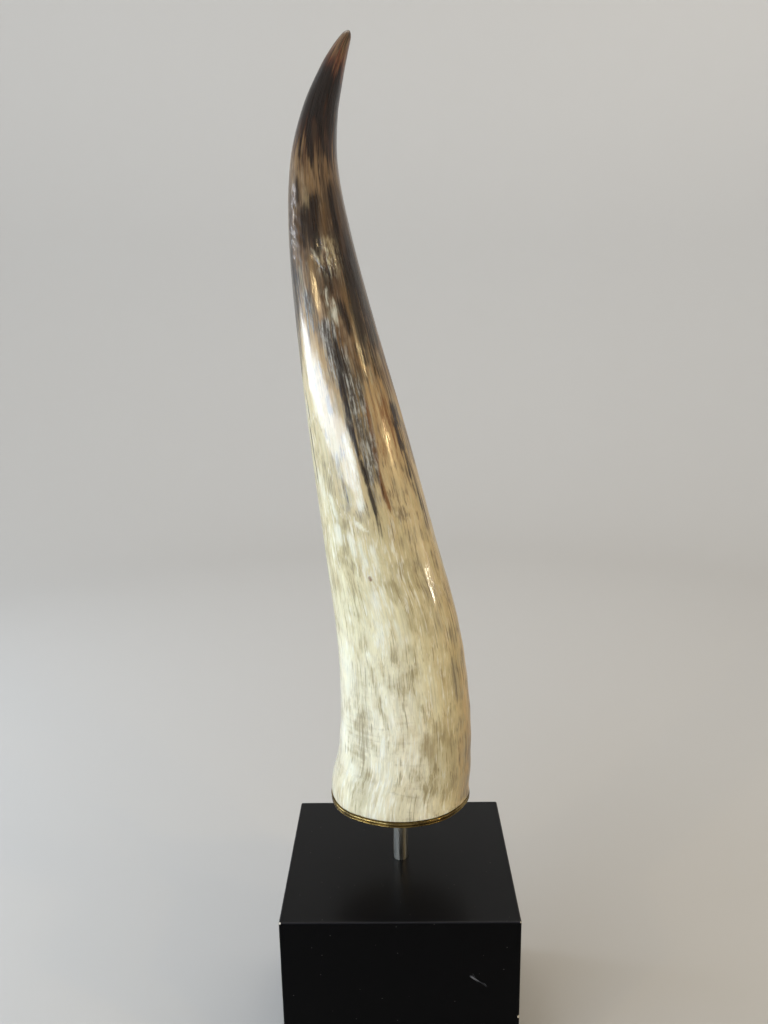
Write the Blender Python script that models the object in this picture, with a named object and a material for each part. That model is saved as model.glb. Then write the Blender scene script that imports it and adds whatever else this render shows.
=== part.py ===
"""A polished longhorn horn mounted upright on a black lacquered block.

The horn stands on a thin brass cap, and one polished steel rod holds both clear of the block.
Lengths are in metres, +Z is up, -Y is the front, and the origin is the centre of the block's underside.
"""
import math

import bmesh
import bpy
from mathutils import Vector

MM = 0.001
GAP = 0.3 * MM

# Block
BLOCK_WIDTH = 150 * MM
BLOCK_DEPTH = 130 * MM
BLOCK_HEIGHT = 130 * MM
BLOCK_EDGE = 1.2 * MM

# Rod: it stands a little right of the block's middle, and reaches into the block and into the horn
ROD_ASIDE = 1 * MM
ROD_RADIUS = 5.15 * MM
ROD_SIDES = 32
ROD_IN_BLOCK = 30 * MM
ROD_IN_HORN = 45 * MM
ROD_CHAMFER = 0.6 * MM

# Brass cap under the horn
CAP_CLEARANCE = 48 * MM
CAP_THICKNESS = 3.9 * MM
CAP_LIP = 0.5 * MM
CAP_GROOVE = 0.4 * MM

# Horn: height above its base, how far its middle is to the right of the rod, and half its width, in mm
HORN_STATIONS = (
    (0, 0.0, 46.2),
    (25, 3.0, 44.3),
    (60, 4.0, 42.6),
    (110, 0.5, 39.9),
    (170, -10.2, 35.0),
    (240, -23.2, 29.8),
    (310, -36.5, 23.6),
    (360, -44.5, 19.0),
    (400, -47.3, 14.6),
    (430, -43.5, 11.1),
    (455, -36.0, 7.6),
    (468, -30.8, 5.2),
    (480, -25.0, 2.2),
)
HORN_HEIGHT = HORN_STATIONS[-1][0] * MM
HORN_SETBACK = 52 * MM
SETBACK_POWER = 2.6
OVAL_AT_BASE = 0.855
OVAL_AT_TIP = 0.95
HORN_SIDES = 44
HORN_RINGS = 72
TIP_LENGTH = 4 * MM
TIP_RINGS = 5
HORN_EDGE = 1 * MM

# Relief of the horn's surface
FLUTE_HEIGHT = 0.45 * MM
FLUTE_TWIST = 1.3
RIPPLE_HEIGHT = 0.35 * MM
RIPPLE_LENGTH = 19 * MM
RIPPLE_REACH = 110 * MM
SCAR_ANGLE = math.radians(-92)
SCAR_HEIGHT = 347 * MM
SCAR_LENGTH = 8 * MM
SCAR_WIDTH = 5 * MM
SCAR_DEPTH = 1.3 * MM

CAP_BOTTOM = BLOCK_HEIGHT + CAP_CLEARANCE
HORN_BOTTOM = CAP_BOTTOM + CAP_THICKNESS + GAP


def clear_scene():
    """Removes whatever the file holds, so that the model is alone in it."""
    for old in list(bpy.data.objects):
        bpy.data.objects.remove(old, do_unlink=True)


def make_material(name, colour, roughness, metallic=0.0):
    """Makes a plain Principled material."""
    material = bpy.data.materials.new(name)
    material.use_nodes = True
    shader = material.node_tree.nodes["Principled BSDF"]
    shader.inputs["Base Color"].default_value = (*colour, 1)
    shader.inputs["Roughness"].default_value = roughness
    shader.inputs["Metallic"].default_value = metallic
    return material


def add_object(name, bm, material=None):
    """Turns a bmesh into a smooth-shaded object with crisp corners."""
    bmesh.ops.recalc_face_normals(bm, faces=bm.faces)
    mesh = bpy.data.meshes.new(name)
    bm.to_mesh(mesh)
    bm.free()
    mesh.shade_smooth()
    mesh.set_sharp_from_angle(angle=math.radians(40))
    if material:
        mesh.materials.append(material)
    thing = bpy.data.objects.new(name, mesh)
    bpy.context.scene.collection.objects.link(thing)
    return thing


def spin_profile(points, sides):
    """Turns a profile of (radius, height) points, which starts and ends on the axis, about Z."""
    bm = bmesh.new()
    verts = [bm.verts.new((radius, 0, height)) for radius, height in points]
    edges = [bm.edges.new(pair) for pair in zip(verts, verts[1:])]
    bmesh.ops.spin(bm, geom=verts + edges, axis=(0, 0, 1), cent=(0, 0, 0), angle=math.tau, steps=sides)
    bmesh.ops.remove_doubles(bm, verts=bm.verts, dist=0.01 * MM)
    return bm


def at_height(height, column):
    """Reads a column of the horn's stations at a height, on a smooth curve through them."""
    rows = HORN_STATIONS
    height = height / MM
    last = len(rows) - 2
    low = max(i for i in range(last + 1) if rows[i][0] <= height or i == 0)
    slopes = []
    for i in (low, low + 1):
        before = rows[max(i - 1, 0)]
        after = rows[min(i + 1, last + 1)]
        slopes.append((after[column] - before[column]) / (after[0] - before[0]))
    if low == 0:
        slopes[0] = 0.0
    step = rows[low + 1][0] - rows[low][0]
    t = (height - rows[low][0]) / step
    start = (2 * t ** 3 - 3 * t ** 2 + 1) * rows[low][column] + (t ** 3 - 2 * t ** 2 + t) * step * slopes[0]
    end = (3 * t ** 2 - 2 * t ** 3) * rows[low + 1][column] + (t ** 3 - t ** 2) * step * slopes[1]
    return (start + end) * MM


def horn_middle(height):
    """Gives the point on the horn's curved middle line at a height above its base."""
    setback = HORN_SETBACK * (height / HORN_HEIGHT) ** SETBACK_POWER
    return Vector((at_height(height, 1), setback, height))


def oval(height):
    """Gives the section's depth as a share of its width: flattest at the base."""
    return OVAL_AT_BASE + (OVAL_AT_TIP - OVAL_AT_BASE) * height / HORN_HEIGHT


def bump(distance):
    """Gives a soft bump that is 1 at no distance and fades out by a distance of about 2."""
    return math.exp(-distance * distance)


def horn_relief(angle, height):
    """Gives how far the surface stands out at a place: flutes, growth ripples and the scar."""
    share = height / HORN_HEIGHT
    fade = 1 - share ** 3
    turn = angle + FLUTE_TWIST * share
    flutes = FLUTE_HEIGHT * fade * (0.6 * math.cos(5 * turn) + 0.4 * math.cos(8 * turn + 1))
    ripples = RIPPLE_HEIGHT * math.sin(math.tau * height / RIPPLE_LENGTH) * math.exp(-height / RIPPLE_REACH)
    across = math.remainder(angle - SCAR_ANGLE, math.tau) * at_height(SCAR_HEIGHT, 2)
    scar = math.hypot(across / SCAR_WIDTH, (height - SCAR_HEIGHT) / SCAR_LENGTH)
    return flutes + ripples + SCAR_DEPTH * (0.5 * bump(scar / 1.6) - 1.5 * bump(scar))


def bend_to_horn(straight):
    """Carries a point of the straight horn to the curved one, with its oval section and its relief."""
    height = straight.z
    middle = horn_middle(height)
    step = 0.5 * MM
    low = max(height - step, 0)
    high = min(height + step, HORN_HEIGHT)
    along = (horn_middle(high) - horn_middle(low)).normalized() if height > 0 else Vector((0, 0, 1))
    side = Vector((1, 0, 0))
    side = (side - along * side.dot(along)).normalized()
    back = along.cross(side)
    angle = math.atan2(straight.y, straight.x)
    radius = math.hypot(straight.x, straight.y)
    radius += horn_relief(angle, height) * radius / max(at_height(height, 2), radius)
    return middle + radius * (math.cos(angle) * side + oval(height) * math.sin(angle) * back)


def horn_profile():
    """Gives the straight horn's profile, from the middle of its base to its blunt tip."""
    points = [(0, 0), (at_height(0, 2) - HORN_EDGE, 0), (at_height(HORN_EDGE, 2), HORN_EDGE)]
    tip_start = HORN_HEIGHT - TIP_LENGTH
    for i in range(1, HORN_RINGS + 1):
        height = HORN_EDGE + (tip_start - HORN_EDGE) * i / HORN_RINGS
        points.append((at_height(height, 2), height))
    for i in range(1, TIP_RINGS):
        turn = math.pi / 2 * i / TIP_RINGS
        height = tip_start + TIP_LENGTH * math.sin(turn)
        points.append((at_height(height, 2) * math.cos(turn), height))
    points.append((0, HORN_HEIGHT))
    return points


def make_horn(material):
    """Makes the horn: turned straight, then bent and carved, with a flat base."""
    bm = spin_profile(horn_profile(), HORN_SIDES)
    for vert in bm.verts:
        vert.co = bend_to_horn(vert.co)
    horn = add_object("horn", bm, material)
    horn.location = (ROD_ASIDE, 0, HORN_BOTTOM)
    return horn


def cap_profile():
    """Gives the cap's profile: a flat plate whose edge has two beads with a groove between them."""
    rim = at_height(0, 2)
    groove = 0.42 * CAP_THICKNESS
    return (
        (0, 0),
        (rim - 1.2 * MM, 0),
        (rim, 0.2 * MM),
        (rim + 0.8 * CAP_LIP, 0.9 * MM),
        (rim + 0.5 * CAP_LIP, 1.3 * MM),
        (rim - CAP_GROOVE, groove),
        (rim + 0.7 * CAP_LIP, groove + 0.5 * MM),
        (rim + CAP_LIP, CAP_THICKNESS - 1.1 * MM),
        (rim + 0.6 * CAP_LIP, CAP_THICKNESS - 0.4 * MM),
        (rim - 0.2 * MM, CAP_THICKNESS),
        (0, CAP_THICKNESS),
    )


def make_cap(material):
    """Makes the brass cap, whose outline follows the horn's base."""
    bm = spin_profile(cap_profile(), HORN_SIDES)
    middle = horn_middle(0)
    for vert in bm.verts:
        angle = math.atan2(vert.co.y, vert.co.x)
        radius = math.hypot(vert.co.x, vert.co.y)
        radius *= 1 + horn_relief(angle, 0) / at_height(0, 2)
        vert.co.x = middle.x + radius * math.cos(angle)
        vert.co.y = middle.y + radius * math.sin(angle) * OVAL_AT_BASE
    cap = add_object("brass_cap", bm, material)
    cap.location = (ROD_ASIDE, 0, CAP_BOTTOM)
    return cap


def make_rod(material):
    """Makes the rod, with chamfered ends, from inside the block to inside the horn."""
    length = ROD_IN_BLOCK + CAP_CLEARANCE + CAP_THICKNESS + ROD_IN_HORN
    profile = (
        (0, 0),
        (ROD_RADIUS - ROD_CHAMFER, 0),
        (ROD_RADIUS, ROD_CHAMFER),
        (ROD_RADIUS, length - ROD_CHAMFER),
        (ROD_RADIUS - ROD_CHAMFER, length),
        (0, length),
    )
    rod = add_object("rod", spin_profile(profile, ROD_SIDES), material)
    rod.location = (ROD_ASIDE, 0, BLOCK_HEIGHT - ROD_IN_BLOCK)
    return rod


def make_block(material):
    """Makes the block, with softly rounded edges, standing on the origin."""
    bm = bmesh.new()
    bmesh.ops.create_cube(bm, size=1)
    bmesh.ops.scale(bm, vec=(BLOCK_WIDTH, BLOCK_DEPTH, BLOCK_HEIGHT), verts=bm.verts)
    bmesh.ops.translate(bm, vec=(0, 0, BLOCK_HEIGHT / 2), verts=bm.verts)
    bmesh.ops.bevel(bm, geom=bm.edges, offset=BLOCK_EDGE, segments=3, profile=0.5, affect="EDGES", material=-1)
    return add_object("block", bm, material)


def make_bore_cutter():
    """Makes the cylinder that drills the rod's bore, with clearance all round and at both ends."""
    radius = ROD_RADIUS + GAP
    length = ROD_IN_BLOCK + CAP_CLEARANCE + CAP_THICKNESS + ROD_IN_HORN + 2 * GAP
    cutter = add_object("bore_cutter", spin_profile(((0, 0), (radius, 0), (radius, length), (0, length)), ROD_SIDES))
    cutter.location = (ROD_ASIDE, 0, BLOCK_HEIGHT - ROD_IN_BLOCK - GAP)
    cutter.hide_render = True
    cutter.display_type = "WIRE"
    return cutter


def drill(thing, cutter):
    """Cuts the rod's bore out of a piece."""
    cut = thing.modifiers.new("rod bore", "BOOLEAN")
    cut.operation = "DIFFERENCE"
    cut.solver = "EXACT"
    cut.object = cutter


def main():
    clear_scene()
    horn = make_horn(make_material("polished horn", (0.62, 0.53, 0.37), 0.25))
    cap = make_cap(make_material("polished brass", (0.56, 0.37, 0.12), 0.25, 1.0))
    make_rod(make_material("polished steel", (0.56, 0.55, 0.52), 0.15, 1.0))
    block = make_block(make_material("black lacquered wood", (0.006, 0.006, 0.007), 0.35))
    cutter = make_bore_cutter()
    for thing in (horn, cap, block):
        drill(thing, cutter)


main()
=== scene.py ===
# %% [markdown]
# # A mounted longhorn horn
#
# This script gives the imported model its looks. The model has four pieces: a polished horn, the thin
# brass cap under its cut end, a polished steel rod and a black lacquered block. All of them are
# curved, worn or glossy in ways that the plain solids can't show, so each one gets a finer mesh here,
# in the same place and at the same size, and a material built from nodes.
#
# Everything is in metres, +Z is up and the front of the object faces -Y.

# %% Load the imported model
import math
import random

import bmesh
import bpy
import numpy as np
from mathutils import Matrix, Vector


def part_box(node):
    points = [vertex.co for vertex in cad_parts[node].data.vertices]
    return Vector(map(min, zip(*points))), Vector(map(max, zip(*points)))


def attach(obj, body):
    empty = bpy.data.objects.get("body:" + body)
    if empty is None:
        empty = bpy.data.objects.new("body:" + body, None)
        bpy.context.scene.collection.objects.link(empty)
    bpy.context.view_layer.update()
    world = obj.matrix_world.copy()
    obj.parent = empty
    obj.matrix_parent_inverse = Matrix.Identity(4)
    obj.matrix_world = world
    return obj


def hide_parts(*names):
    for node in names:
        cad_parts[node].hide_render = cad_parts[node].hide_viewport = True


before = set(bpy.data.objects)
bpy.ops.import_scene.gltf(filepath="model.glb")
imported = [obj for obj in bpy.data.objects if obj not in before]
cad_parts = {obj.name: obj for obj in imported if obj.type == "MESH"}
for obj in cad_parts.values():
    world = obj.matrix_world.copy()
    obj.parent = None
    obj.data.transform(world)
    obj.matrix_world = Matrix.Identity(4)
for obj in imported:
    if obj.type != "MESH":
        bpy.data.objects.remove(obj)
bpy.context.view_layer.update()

MM = 0.001

# %% [markdown]
# ## The camera
#
# A form seen from the wrong place never lines up with a photograph, so the camera comes first. The
# block is a plain box, so its edges give the view: the camera stands half a metre in front of the rod,
# a little above the middle of the horn, and looks 13 degrees down. The picture is 1024 pixels tall, and
# Blender measures the lens against its longer side.

# %% Place the camera
PICTURE_HEIGHT = 1024
FOCAL_PIXELS = 824
SENSOR_MM = 36
CAMERA_PLACE = Vector((0.0014, -0.5005, 0.4929))
CAMERA_TURN = math.radians(-0.93)
CAMERA_DOWN = math.radians(13.31)
CAMERA_ROLL = math.radians(-0.93)


def make_camera():
    """Adds the camera and aims it: turned about Z, tipped down, then rolled about its own view."""
    data = bpy.data.cameras.new("camera")
    data.sensor_width = SENSOR_MM
    data.lens = FOCAL_PIXELS / PICTURE_HEIGHT * SENSOR_MM
    camera = bpy.data.objects.new("camera", data)
    bpy.context.scene.collection.objects.link(camera)
    turn = Matrix.Rotation(-CAMERA_TURN, 4, "Z")
    tip = Matrix.Rotation(math.pi / 2 - CAMERA_DOWN, 4, "X")
    roll = Matrix.Rotation(CAMERA_ROLL, 4, "Z")
    camera.matrix_world = Matrix.Translation(CAMERA_PLACE) @ turn @ tip @ roll
    bpy.context.scene.camera = camera
    return camera


camera = make_camera()
print("lens in mm:", round(camera.data.lens, 2))

# %% [markdown]
# ## Helpers for nodes and colours
#
# A colour picked from a picture is an sRGB value, and the renderer wants linear light, so one function
# turns hex values to linear. A second one adds a node: it sets the node's own properties and fills its
# inputs, with numbers or with the outputs of other nodes, which keeps every material a short list.

# %% Define the helpers


def colour(hex_value):
    """Turns an sRGB hex colour to linear red, green, blue and alpha."""
    parts = [int(hex_value[i:i + 2], 16) / 255 for i in (1, 3, 5)]
    linear = [p / 12.92 if p <= 0.04045 else ((p + 0.055) / 1.055) ** 2.4 for p in parts]
    return (*linear, 1)


def add(tree, kind, inputs=None, **settings):
    """Adds a node with its settings, and fills its inputs with values or with other nodes' outputs."""
    node = tree.nodes.new(kind)
    for name, value in settings.items():
        setattr(node, name, value)
    for key, value in (inputs or {}).items():
        if isinstance(value, bpy.types.NodeSocket):
            tree.links.new(value, node.inputs[key])
        else:
            node.inputs[key].default_value = value
    return node


def new_material(name):
    """Makes an empty material and returns it with its tree."""
    material = bpy.data.materials.new(name)
    material.use_nodes = True
    material.node_tree.nodes.clear()
    return material, material.node_tree


def close_material(tree, shader):
    """Links the finished shader to the material's output."""
    add(tree, "ShaderNodeOutputMaterial", {"Surface": shader.outputs[0]})


print("a mid grey in linear light:", round(colour("#808080")[0], 3))

# %% [markdown]
# ## The stage
#
# Small products are photographed in a sweep, a sheet that curves up from the table so that no corner
# shows. This one is a wide round bowl made by spinning an L-shaped line with a curved corner, so the
# object has the same pale surroundings from every side. The horn, the cap and the rod are spun from a
# profile too, so one function spins them all.

# %% Define the spinning


def spin_profile(points, sides, closed=False):
    """Turns a profile of (radius, height) points about Z into a bmesh with its faces pointing out."""
    bm = bmesh.new()
    verts = [bm.verts.new((radius, 0, height)) for radius, height in points]
    edges = [bm.edges.new(pair) for pair in zip(verts, verts[1:])]
    if closed:
        edges.append(bm.edges.new((verts[-1], verts[0])))
    bmesh.ops.spin(bm, geom=verts + edges, axis=(0, 0, 1), cent=(0, 0, 0), angle=math.tau,
                   steps=sides, use_merge=True)
    bmesh.ops.remove_doubles(bm, verts=bm.verts, dist=0.005 * MM)
    bmesh.ops.recalc_face_normals(bm, faces=bm.faces)
    return bm


def add_piece(name, bm, sharp_degrees=40):
    """Turns a bmesh into a smooth-shaded piece with crisp corners."""
    mesh = bpy.data.meshes.new(name)
    bm.to_mesh(mesh)
    bm.free()
    mesh.shade_smooth()
    mesh.set_sharp_from_angle(angle=math.radians(sharp_degrees))
    piece = bpy.data.objects.new(name, mesh)
    bpy.context.scene.collection.objects.link(piece)
    return piece


# %% Build the sweep
STAGE_RADIUS = 1.9
STAGE_CORNER = 0.7
STAGE_WALL = 2.6
STAGE_SIDES = 96
CORNER_POINTS = 12


def sweep_profile():
    """Gives the sweep's outline: a floor that curves up into a wall."""
    points = [(0, 0), (STAGE_RADIUS - STAGE_CORNER, 0)]
    for i in range(1, CORNER_POINTS + 1):
        turn = math.pi / 2 * i / CORNER_POINTS
        reach = STAGE_RADIUS - STAGE_CORNER + STAGE_CORNER * math.sin(turn)
        points.append((reach, STAGE_CORNER * (1 - math.cos(turn))))
    return points + [(STAGE_RADIUS, STAGE_WALL)]


def make_paper():
    """Makes the sweep's matt paper."""
    material, tree = new_material("matt paper")
    shader = add(tree, "ShaderNodeBsdfPrincipled", {"Base Color": colour("#bcbab7"), "Roughness": 0.9})
    close_material(tree, shader)
    return material


sweep = add_piece("sweep", spin_profile(sweep_profile(), STAGE_SIDES))
sweep.data.materials.append(make_paper())
print("sweep faces:", len(sweep.data.polygons))

# %% [markdown]
# ## The lights
#
# The horn is glossy, so the lights are drawn on it. A tall cool softbox on the left, like a window,
# makes the long white streak down that side, and a small high pane lights its left edge. Four small
# warm lamps give the thin golden glints. A wide soft light overhead fills the rest, and two more
# light the backdrop alone.

# %% Hang the lights
LIGHTS = (
    # name, place, aim, size, watts, colour
    ("window", (-0.906, -0.434, 0.45), (0, 0, 0.45), (2.10, 0.22), 19, "#d9ebff"),
    ("high pane", (-1.02, 0.27, 0.84), (0, 0, 0.50), (0.12, 0.22), 0.8, "#eef4ff"),
    ("overhead", (0.0, 0.60, 2.20), (0, 0.3, 0.2), (1.20, 1.00), 10, "#fff6ea"),
    ("backdrop left", (-0.60, 0.35, 1.60), (-0.9, 1.8, 0.9), (0.80, 0.50), 8.8, "#ecf5ff"),
    ("backdrop right", (0.60, 0.35, 1.60), (0.9, 1.8, 0.9), (0.80, 0.50), 9, "#fffaf2"),
    ("warm lamp 1", (-0.72, -0.74, 0.86), (0, 0, 0.50), (0.045, 0.08), 1.1, "#ffdfa6"),
    ("warm lamp 2", (0.68, -0.72, 0.93), (0, 0, 0.46), (0.06, 0.06), 1.1, "#ffe0a4"),
    ("warm lamp 3", (0.85, -0.54, 0.68), (0, 0, 0.41), (0.05, 0.08), 1.8, "#ffe0a4"),
    ("warm lamp 4", (0.99, -0.26, 0.34), (0, 0, 0.32), (0.05, 0.10), 1.6, "#fff0d4"),
)


def hang_light(name, place, aim, size, watts, tint):
    """Adds a rectangular light that faces a point and that the camera doesn't see."""
    data = bpy.data.lights.new(name, "AREA")
    data.shape = "RECTANGLE"
    data.size, data.size_y = size
    data.energy = watts
    data.color = colour(tint)[:3]
    light = bpy.data.objects.new(name, data)
    bpy.context.scene.collection.objects.link(light)
    light.location = place
    light.rotation_euler = (Vector(aim) - Vector(place)).to_track_quat("-Z", "Y").to_euler()
    light.visible_camera = False
    return light


def make_world():
    """Gives the world a weak even light that softens the shadows."""
    world = bpy.data.worlds.new("studio")
    world.use_nodes = True
    world.node_tree.nodes.clear()
    glow = add(world.node_tree, "ShaderNodeBackground", {"Color": colour("#f2f2ec"), "Strength": 0.33})
    add(world.node_tree, "ShaderNodeOutputWorld", {"Surface": glow.outputs[0]})
    return world


for light in LIGHTS:
    hang_light(*light)
bpy.context.scene.world = make_world()
bpy.context.scene.view_settings.view_transform = "Standard"
print("lights:", [light[0] for light in LIGHTS])

# %% [markdown]
# ## The horn's form
#
# A horn is a tapered tube that grew in a curve. The easy way to model it is to make it straight first
# and bend it afterwards: each point keeps its height and its angle round the middle, and a few
# stations say where the middle lies and how wide the horn is at a height. A smooth curve runs through
# the stations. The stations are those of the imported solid, so this horn fills the same space.

# %% Set the horn's stations
ROD_ASIDE = 1 * MM
GAP = 0.3 * MM
HORN_STATIONS = np.array((
    # height above the base, how far the middle is to the right of the rod, half the width, in mm
    (0, 0.0, 46.2),
    (25, 3.0, 44.3),
    (60, 4.0, 42.6),
    (110, 0.5, 39.9),
    (170, -10.2, 35.0),
    (240, -23.2, 29.8),
    (310, -36.5, 23.6),
    (360, -44.5, 19.0),
    (400, -47.3, 14.6),
    (430, -43.5, 11.1),
    (455, -36.0, 7.6),
    (468, -30.8, 5.2),
    (480, -25.0, 2.2),
))
HORN_HEIGHT = HORN_STATIONS[-1, 0] * MM
HORN_SETBACK = 52 * MM
SETBACK_POWER = 2.6
OVAL_AT_BASE = 0.855
OVAL_AT_TIP = 0.95
HORN_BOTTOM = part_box("horn")[0][2]


def station_slopes(column):
    """Gives the slope of the smooth curve at each station, level at the base."""
    heights, values = HORN_STATIONS[:, 0], HORN_STATIONS[:, column]
    slopes = np.empty(len(heights))
    slopes[1:-1] = (values[2:] - values[:-2]) / (heights[2:] - heights[:-2])
    slopes[0] = 0
    slopes[-1] = (values[-1] - values[-2]) / (heights[-1] - heights[-2])
    return slopes


def at_height(height, column):
    """Reads a column of the stations at many heights, on a smooth curve through them."""
    heights, values = HORN_STATIONS[:, 0] * MM, HORN_STATIONS[:, column] * MM
    slopes = station_slopes(column)
    low = np.clip(np.searchsorted(heights, height, side="right") - 1, 0, len(heights) - 2)
    step = heights[low + 1] - heights[low]
    t = (height - heights[low]) / step
    start = (2 * t ** 3 - 3 * t ** 2 + 1) * values[low] + (t ** 3 - 2 * t ** 2 + t) * step * slopes[low]
    end = (3 * t ** 2 - 2 * t ** 3) * values[low + 1] + (t ** 3 - t ** 2) * step * slopes[low + 1]
    return start + end


def horn_middle(height):
    """Gives the points of the horn's curved middle line at many heights."""
    setback = HORN_SETBACK * (height / HORN_HEIGHT) ** SETBACK_POWER
    return np.stack([at_height(height, 1), setback, height], axis=-1)


print("horn's width in mm at its base, middle and near its tip:",
      np.round(2 * at_height(np.array([0, 0.24, 0.45]), 2) / MM, 1))

# %% [markdown]
# ## The horn's relief
#
# Polishing leaves a horn smooth but not even. Broad flutes run up it, faint growth ripples cross its
# lower end, and this one has three flaws: a knotted scar high on the front, where a groove ends in a
# ledge, small dents high on the left edge, and a small chip low on the front with two creases running
# up from it. They are worked out as a height over the straight horn, and added before it is bent.

# %% Define the relief
FLUTE_HEIGHT = 0.45 * MM
FLUTE_TWIST = 1.3
RIPPLE_HEIGHT = 0.18 * MM
RIPPLE_LENGTH = 19 * MM
RIPPLE_REACH = 110 * MM
HANDWORK_HEIGHT = 0.10 * MM
HANDWORK = ((13, 9, 2.39), (21, 14, 0.4), (34, 15, 5.53))
# where each flaw is: its angle in degrees and its height in mm
SCAR_ANGLE, SCAR_HEIGHT = -91, 345
CHIP_ANGLE, CHIP_HEIGHT = -103, 161
DENTS_ANGLE, DENTS_HEIGHT = -137, 362
# what it is made of: how high, how far aside, how wide, how far above, how long, in mm, and its lean
SCAR_PIT = (-1.8, 0.3, 2.2, 2, 6, 0)
SCAR_LEDGE = (1.0, -3.8, 1.2, -3, 6, -0.56)
SCAR_WELT = (0.7, 5, 4, -2, 8, 0)
SCAR_KNOTS = (0.55, 5, 4.5, -2, 8, 0)
DENTS = (0.35, 0, 7, 0, 17, 0)
CHIP = ((-0.25, 0, 2.2, 0.8, 3.5, 0), (-0.45, -0.5, 1.4, 11, 9, -0.22), (-0.40, -0.2, 1.3, 14, 11, 0.12))


def bump(distance):
    """Gives a soft bump that is 1 at no distance and fades out by a distance of about 2."""
    return np.exp(-distance ** 2)


def across(angle, height, from_degrees):
    """Gives the distance round the horn, in mm, from a line at an angle in degrees."""
    turned = np.mod(angle - math.radians(from_degrees) + math.pi, math.tau) - math.pi
    return turned * at_height(height, 2) / MM


def ridge(side, up, high, aside, width, above, length, lean):
    """Gives a soft ridge, or a groove where its height is negative."""
    return high * bump((side - aside - lean * up) / width) * bump((up - above) / length)


def scar_relief(angle, height):
    """Gives the scar's relief in mm: a groove that ends in a pit, a slanting ledge and a knotted welt."""
    side = across(angle, height, SCAR_ANGLE)
    up = height / MM - SCAR_HEIGHT
    ledge = ridge(side, up, *SCAR_LEDGE) * bump((side + 1.2) / 4)
    knots = np.sin(2.0 * side + 0.5 * up) * np.sin(1.3 * up + 0.9 * side)
    welt = ridge(side, up, *SCAR_WELT) + knots * ridge(side, up, *SCAR_KNOTS)
    return ridge(side, up, *SCAR_PIT) + ledge + welt


def dent_relief(angle, height):
    """Gives the small dents high on the left edge in mm, which break up the window's reflection."""
    side = across(angle, height, DENTS_ANGLE)
    up = height / MM - DENTS_HEIGHT
    return ridge(side, up, *DENTS) * np.sin(0.9 * side + 0.5 * up) * np.sin(0.33 * up + 1)


def chip_relief(angle, height):
    """Gives the chip's relief in mm: a shallow pit, and two creases above it."""
    side = across(angle, height, CHIP_ANGLE)
    up = height / MM - CHIP_HEIGHT
    return sum(ridge(side, up, *part) for part in CHIP)


def horn_relief(angle, height):
    """Gives how far the surface stands out at each place, in metres."""
    share = height / HORN_HEIGHT
    fade = 1 - share ** 3
    turn = angle + FLUTE_TWIST * share
    flutes = FLUTE_HEIGHT * fade * (0.6 * np.cos(5 * turn) + 0.4 * np.cos(8 * turn + 1))
    ripples = RIPPLE_HEIGHT * np.sin(math.tau * height / RIPPLE_LENGTH) * np.exp(-height / RIPPLE_REACH)
    handwork = sum(np.sin(lobes * turn - lean * height + start) for lobes, lean, start in HANDWORK)
    flaws = scar_relief(angle, height) + dent_relief(angle, height) + chip_relief(angle, height)
    return flutes + ripples + HANDWORK_HEIGHT * fade * handwork / len(HANDWORK) + flaws * MM


pit = scar_relief(np.radians(SCAR_ANGLE), np.array(SCAR_HEIGHT * MM))
print("the scar's pit in mm:", round(float(pit), 2))

# %% [markdown]
# ## The horn's mesh
#
# The straight horn is a profile spun about Z: the rod's socket, the flat base with its eased edge, the
# long taper and a rounded tip. Then every point is carried to the curved middle line. The straight
# place of each point is kept as an attribute, because colour in a horn follows its fibres: a pattern
# stretched along the straight horn bends with it.

# %% Spin the straight horn
HORN_SIDES = 192
HORN_RINGS = 400
TIP_LENGTH = 4 * MM
TIP_RINGS = 10
HORN_EDGE = 1 * MM
ROD_RADIUS = 5.15 * MM
SOCKET_RADIUS = ROD_RADIUS + GAP
SOCKET_DEPTH = 45 * MM
PATTERN_RADIUS = 30 * MM


def ring_heights():
    """Spaces the horn's rings, closer together where the scar and the chip are."""
    even = np.linspace(HORN_EDGE, HORN_HEIGHT - TIP_LENGTH, 4000)
    crowd = 1 + 1.5 * bump((even / MM - SCAR_HEIGHT) / 20) + bump((even / MM - CHIP_HEIGHT) / 14)
    share = np.cumsum(crowd)
    return np.interp(np.linspace(share[0], share[-1], HORN_RINGS), share, even)


def horn_profile():
    """Gives the straight horn's profile: socket, flat base, eased edge, taper and rounded tip."""
    base = float(at_height(np.array(0.0), 2))
    points = [(0, SOCKET_DEPTH), (SOCKET_RADIUS, SOCKET_DEPTH), (SOCKET_RADIUS, 0)]
    for turn in (0, 30, 60):
        ease = math.radians(turn)
        points.append((base - HORN_EDGE * (1 - math.sin(ease)), HORN_EDGE * (1 - math.cos(ease))))
    tip_start = HORN_HEIGHT - TIP_LENGTH
    for height in ring_heights():
        points.append((float(at_height(height, 2)), height))
    for i in range(1, TIP_RINGS):
        turn = math.pi / 2 * i / TIP_RINGS
        height = tip_start + TIP_LENGTH * math.sin(turn)
        points.append((float(at_height(np.array(height), 2)) * math.cos(turn), height))
    return points + [(0, HORN_HEIGHT)]


horn = add_piece("polished_horn", spin_profile(horn_profile(), HORN_SIDES))
print("horn faces:", len(horn.data.polygons))

# %% Bend and carve it


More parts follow.
